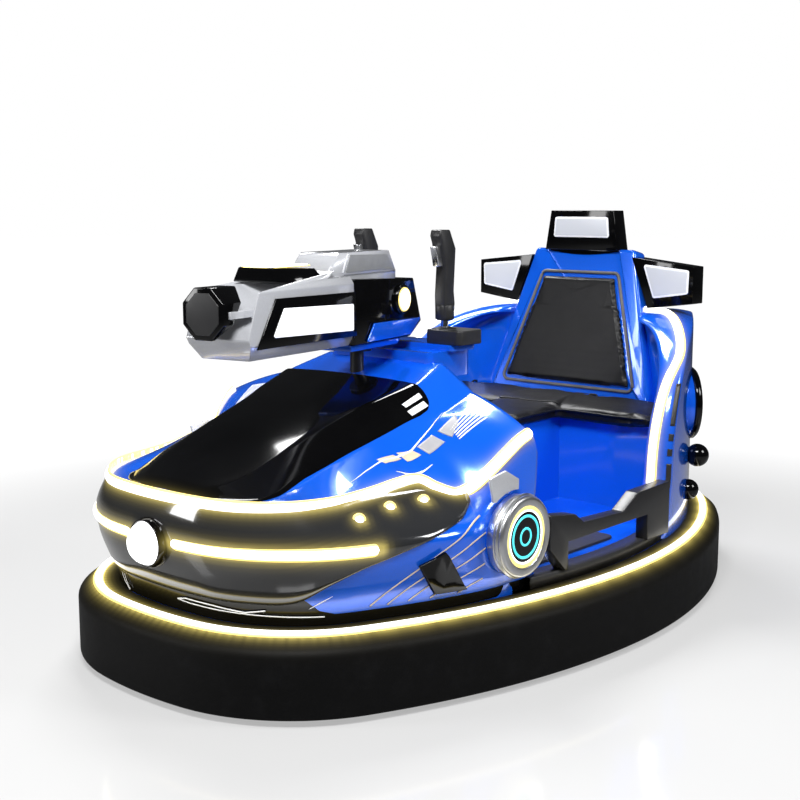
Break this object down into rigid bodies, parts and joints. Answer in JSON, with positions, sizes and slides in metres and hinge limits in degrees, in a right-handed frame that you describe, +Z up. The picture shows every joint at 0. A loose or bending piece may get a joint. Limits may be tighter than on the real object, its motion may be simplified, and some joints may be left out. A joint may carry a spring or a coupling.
{
  "type": "battery bumper car with swivelling light cannon",
  "caption": "Single-seat oval battery bumper car: rubber ring, moulded body with straddle seat, twin joysticks, light strips and a swivelling light cannon on the hood.",
  "frame": {"origin": "on the floor under the middle of the bumper ring", "axes": "+Z up, +Y towards the back of the car, +X to the driver's left; the car drives towards -Y"},
  "size_m": [1.22, 1.9498, 0.985],
  "materials": {
    "battery_case": "matt moulded case",
    "black_gloss": "gloss black",
    "black_satin": "satin black",
    "black_vinyl": "black vinyl, grey piping",
    "blue_body": "gloss moulded fibreglass, metallic blue",
    "castor_tread": "grey polyurethane",
    "chassis_steel": "satin black powder coat",
    "chrome_stem": "polished",
    "grey_flake": "gloss dark grey with metal flake",
    "lamp_lens": "lit white lens",
    "light_strip": "lit warm-white diffuser",
    "motor_steel": "grey enamel",
    "panel_edge": "gloss black frame",
    "rail_grey": "satin dark grey",
    "ring_rubber": "matt black moulded rubber, finely pebbled",
    "silver_metal": "brushed silver",
    "silver_paint": "silver-grey paint",
    "tyre": "solid rubber",
    "wheel_steel": "zinc plated",
    "window_white": "white diffuser"
  },
  "bodies": {
    "car": {"arm_lights": "light_strip", "arm_vents": "black_satin", "back_pad": "black_vinyl", "battery_block": "battery_case", "bumper_ring": "ring_rubber", "castor_plates": "wheel_steel", "charge_socket": "black_satin", "chassis_frame": "chassis_steel", "chassis_pan": "chassis_steel", "cheek_lights": "light_strip", "console_plates": "black_satin", "drive_motors": "motor_steel", "face_lights": "light_strip", "gun_post": "silver_metal", "hood_light": "light_strip", "hood_shell": "blue_body", "hub_drums": "silver_metal", "hub_faces": "black_gloss", "hub_tabs": "silver_paint", "joystick_grips": "black_satin", "joystick_stems": "chrome_stem", "joystick_triggers": "silver_metal", "lamp_boxes": "black_gloss", "lamp_windows": "window_white", "motor_brackets": "chassis_steel", "nose_band": "grey_flake", "nose_bezel": "silver_metal", "nose_lamp": "lamp_lens", "nose_skirt": "black_gloss", "pedestal": "blue_body", "rear_balls": "black_gloss", "rear_body": "blue_body", "rear_pods": "blue_body", "ring_light": "light_strip", "seat_back": "blue_body", "seat_cushion": "black_vinyl", "side_panel_left": "blue_body", "side_panel_right": "blue_body", "side_rail_left": "rail_grey", "side_rail_right": "rail_grey", "step_pads": "black_satin", "tub": "blue_body", "windshield": "black_gloss"},
    "wheel_left": {"wheel_rim_left": "wheel_steel", "tyre_left": "tyre"},
    "wheel_right": {"wheel_rim_right": "wheel_steel", "tyre_right": "tyre"},
    "castor_swivel_front": {"castor_fork_front": "wheel_steel"},
    "castor_swivel_rear": {"castor_fork_rear": "wheel_steel"},
    "castor_roller_front": {"castor_wheel_front": "castor_tread"},
    "castor_roller_rear": {"castor_wheel_rear": "castor_tread"},
    "cannon": {"gun_belly": "blue_body", "gun_body": "silver_paint", "gun_lights": "window_white", "gun_muzzle": "black_gloss", "gun_panels": "panel_edge", "gun_rear": "black_gloss", "gun_top_lamp": "light_strip"}
  },
  "joints": [
    {"name": "wheel_left_roll", "type": "hinge", "parent": "car", "child": "wheel_left", "pos_m": [0.43, 0.06, 0.08], "axis": [1, 0, 0], "continuous": true},
    {"name": "wheel_right_roll", "type": "hinge", "parent": "car", "child": "wheel_right", "pos_m": [-0.43, 0.06, 0.08], "axis": [1, 0, 0], "continuous": true},
    {"name": "castor_front_turn", "type": "hinge", "parent": "car", "child": "castor_swivel_front", "pos_m": [0, -0.69, 0.1], "axis": [0, 0, 1], "continuous": true},
    {"name": "castor_front_roll", "type": "hinge", "parent": "castor_swivel_front", "child": "castor_roller_front", "pos_m": [0, -0.658, 0.045], "axis": [1, 0, 0], "continuous": true},
    {"name": "castor_rear_turn", "type": "hinge", "parent": "car", "child": "castor_swivel_rear", "pos_m": [0, 0.64, 0.1], "axis": [0, 0, 1], "continuous": true},
    {"name": "castor_rear_roll", "type": "hinge", "parent": "castor_swivel_rear", "child": "castor_roller_rear", "pos_m": [0, 0.672, 0.045], "axis": [1, 0, 0], "continuous": true},
    {"name": "cannon_turn", "type": "hinge", "parent": "car", "child": "cannon", "pos_m": [0, -0.315, 0.67], "axis": [0, 0, 1], "range_deg": [-42, 18]}
  ]
}
